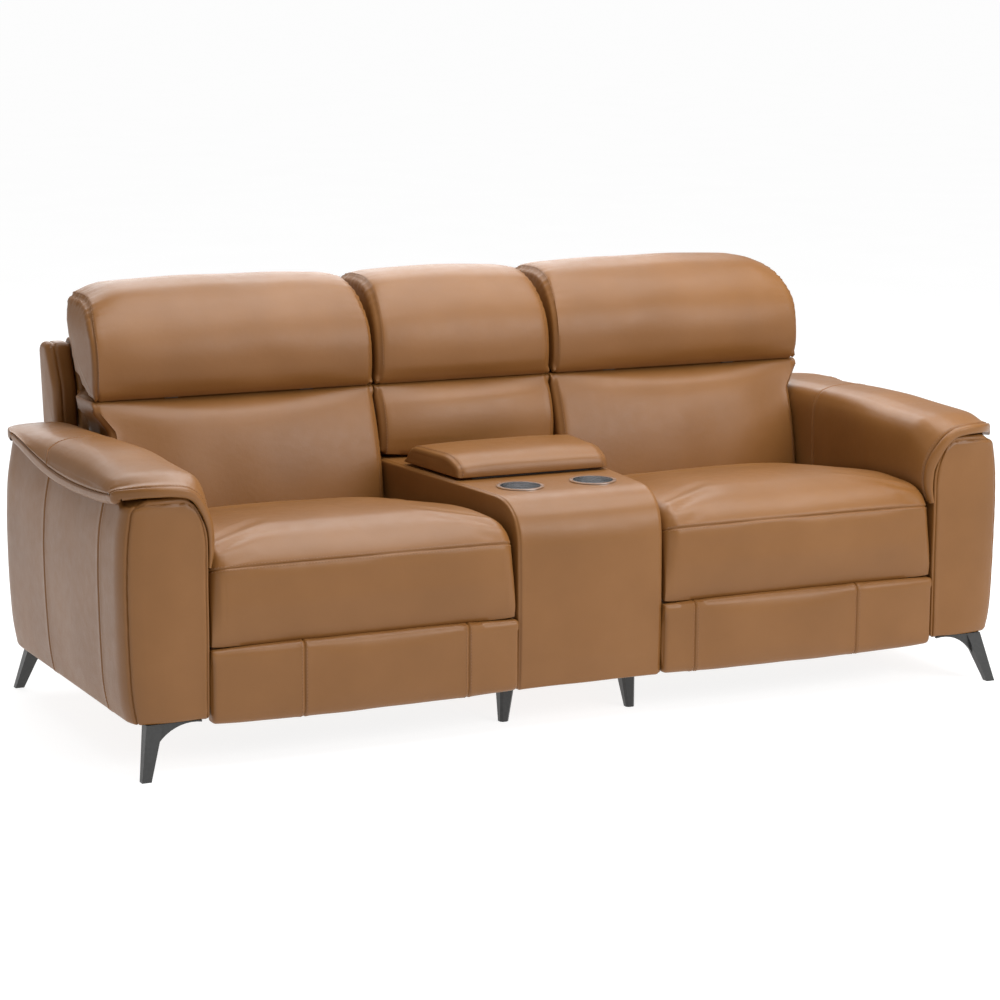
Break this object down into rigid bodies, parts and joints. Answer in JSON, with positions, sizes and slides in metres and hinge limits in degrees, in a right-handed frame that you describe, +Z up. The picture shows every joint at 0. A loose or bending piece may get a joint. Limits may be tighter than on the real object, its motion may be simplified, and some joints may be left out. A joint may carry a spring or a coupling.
{
  "type": "recliner sofa",
  "caption": "Leather reclining sofa with sliding seats, folding footrests, tilting headrests and a console with cup holders and a lidded bin.",
  "frame": {"origin": "on the floor, under the middle of the sofa's bounding box", "axes": "+X to the right seen from the front, front towards -Y, +Z up"},
  "size_m": [2.11, 0.994, 0.908],
  "materials": {
    "leather": "satin",
    "black_metal": "satin",
    "steel": "satin",
    "polished_steel": "polished",
    "timber": "matte",
    "webbing": "matte",
    "black_plastic": "matte"
  },
  "bodies": {
    "frame": {"front_legs": "black_metal", "rear_legs": "black_metal", "console_legs": "black_metal", "base_stretchers": "timber", "base_rails": "steel", "console_body": "leather", "console_bin": "black_plastic", "cup_holders": "polished_steel", "console_back_shell": "leather", "console_lumbar_cushion": "leather", "console_head_cushion": "leather", "lid_hinge_base": "steel", "switch_bezels": "black_plastic", "left_arm_body": "leather", "left_arm_cap": "leather", "left_recline_motor": "black_plastic", "right_arm_body": "leather", "right_arm_cap": "leather", "right_recline_motor": "black_plastic"},
    "lid": {"console_lid": "leather", "lid_hinge_leaf": "steel"},
    "left_seat": {"left_seat_cushion": "leather", "left_seat_front_panel": "leather", "left_seat_frame": "timber", "left_seat_webbing": "webbing", "left_side_plates": "steel", "left_drive_carriage": "steel", "left_footrest_motor": "black_plastic"},
    "left_back": {"left_back_shell": "leather", "left_lumbar_cushion": "leather", "left_back_ironwork": "steel"},
    "left_headrest": {"left_headrest_cushion": "leather", "left_headrest_arms": "steel"},
    "left_front_links": {"left_front_links": "steel"},
    "left_rear_links": {"left_rear_links": "steel"},
    "left_upper_links": {"left_upper_links": "steel"},
    "left_lower_links": {"left_lower_links": "steel"},
    "left_footrest": {"left_footrest_pad": "leather", "left_footrest_frame": "steel"},
    "left_rocker": {"left_rocker_switch": "black_plastic"},
    "right_seat": {"right_seat_cushion": "leather", "right_seat_front_panel": "leather", "right_seat_frame": "timber", "right_seat_webbing": "webbing", "right_side_plates": "steel", "right_drive_carriage": "steel", "right_footrest_motor": "black_plastic"},
    "right_back": {"right_back_shell": "leather", "right_lumbar_cushion": "leather", "right_back_ironwork": "steel"},
    "right_headrest": {"right_headrest_cushion": "leather", "right_headrest_arms": "steel"},
    "right_front_links": {"right_front_links": "steel"},
    "right_rear_links": {"right_rear_links": "steel"},
    "right_upper_links": {"right_upper_links": "steel"},
    "right_lower_links": {"right_lower_links": "steel"},
    "right_footrest": {"right_footrest_pad": "leather", "right_footrest_frame": "steel"},
    "right_rocker": {"right_rocker_switch": "black_plastic"}
  },
  "joints": [
    {"name": "lid_hinge", "type": "hinge", "parent": "frame", "child": "lid", "pos_m": [0, 0.093, 0.504], "axis": [-1, 0, 0], "range_deg": [0, 80]},
    {"name": "left_seat_slide", "type": "slide", "parent": "frame", "child": "left_seat", "axis": [0, -1, 0], "range_m": [0, 0.1]},
    {"name": "left_recline", "type": "hinge", "parent": "left_seat", "child": "left_back", "pos_m": [-0.544, 0.167, 0.31], "axis": [-1, 0, 0], "range_deg": [0, 30]},
    {"name": "left_headrest_tilt", "type": "hinge", "parent": "left_back", "child": "left_headrest", "pos_m": [-0.544, 0.195, 0.668], "axis": [1, 0, 0], "range_deg": [0, 35]},
    {"name": "left_footrest", "type": "hinge", "parent": "left_seat", "child": "left_front_links", "pos_m": [-0.544, -0.263, 0.29], "axis": [-1, 0, 0], "range_deg": [0, 88]},
    {"name": "left_rear_link", "type": "hinge", "parent": "left_seat", "child": "left_rear_links", "pos_m": [-0.544, -0.308, 0.29], "axis": [-1, 0, 0], "range_deg": [0, 88]},
    {"name": "left_upper_link", "type": "hinge", "parent": "left_front_links", "child": "left_upper_links", "pos_m": [-0.544, -0.13063, 0.12058], "axis": [-1, 0, 0], "range_deg": [-88, 0]},
    {"name": "left_lower_link", "type": "hinge", "parent": "left_front_links", "child": "left_lower_links", "pos_m": [-0.544, -0.14112, 0.15918], "axis": [-1, 0, 0], "range_deg": [-88, 0]},
    {"name": "left_footrest_tilt", "type": "hinge", "parent": "left_upper_links", "child": "left_footrest", "pos_m": [-0.544, -0.348, 0.24], "axis": [-1, 0, 0], "range_deg": [0, 88]},
    {"name": "left_rocker", "type": "hinge", "parent": "frame", "child": "left_rocker", "pos_m": [-0.869, -0.353, 0.388], "axis": [0, 0, 1], "range_deg": [-6, 6], "stiffness_Nm_per_rad": 0.25},
    {"name": "right_seat_slide", "type": "slide", "parent": "frame", "child": "right_seat", "axis": [0, -1, 0], "range_m": [0, 0.1]},
    {"name": "right_recline", "type": "hinge", "parent": "right_seat", "child": "right_back", "pos_m": [0.544, 0.167, 0.31], "axis": [-1, 0, 0], "range_deg": [0, 30]},
    {"name": "right_headrest_tilt", "type": "hinge", "parent": "right_back", "child": "right_headrest", "pos_m": [0.544, 0.195, 0.668], "axis": [1, 0, 0], "range_deg": [0, 35]},
    {"name": "right_footrest", "type": "hinge", "parent": "right_seat", "child": "right_front_links", "pos_m": [0.544, -0.263, 0.29], "axis": [-1, 0, 0], "range_deg": [0, 88]},
    {"name": "right_rear_link", "type": "hinge", "parent": "right_seat", "child": "right_rear_links", "pos_m": [0.544, -0.308, 0.29], "axis": [-1, 0, 0], "range_deg": [0, 88]},
    {"name": "right_upper_link", "type": "hinge", "parent": "right_front_links", "child": "right_upper_links", "pos_m": [0.544, -0.13063, 0.12058], "axis": [-1, 0, 0], "range_deg": [-88, 0]},
    {"name": "right_lower_link", "type": "hinge", "parent": "right_front_links", "child": "right_lower_links", "pos_m": [0.544, -0.14112, 0.15918], "axis": [-1, 0, 0], "range_deg": [-88, 0]},
    {"name": "right_footrest_tilt", "type": "hinge", "parent": "right_upper_links", "child": "right_footrest", "pos_m": [0.544, -0.348, 0.24], "axis": [-1, 0, 0], "range_deg": [0, 88]},
    {"name": "right_rocker", "type": "hinge", "parent": "frame", "child": "right_rocker", "pos_m": [0.869, -0.353, 0.388], "axis": [0, 0, 1], "range_deg": [-6, 6], "stiffness_Nm_per_rad": 0.25}
  ],
  "couplings": [
    {"joint": "left_recline", "follows": "left_seat_slide", "rad_per_m": 5.2359},
    {"joint": "left_rear_link", "follows": "left_footrest", "ratio": 1},
    {"joint": "left_upper_link", "follows": "left_footrest", "ratio": -1},
    {"joint": "left_lower_link", "follows": "left_footrest", "ratio": -1},
    {"joint": "left_footrest_tilt", "follows": "left_footrest", "ratio": 1},
    {"joint": "right_recline", "follows": "right_seat_slide", "rad_per_m": 5.2359},
    {"joint": "right_rear_link", "follows": "right_footrest", "ratio": 1},
    {"joint": "right_upper_link", "follows": "right_footrest", "ratio": -1},
    {"joint": "right_lower_link", "follows": "right_footrest", "ratio": -1},
    {"joint": "right_footrest_tilt", "follows": "right_footrest", "ratio": 1}
  ]
}
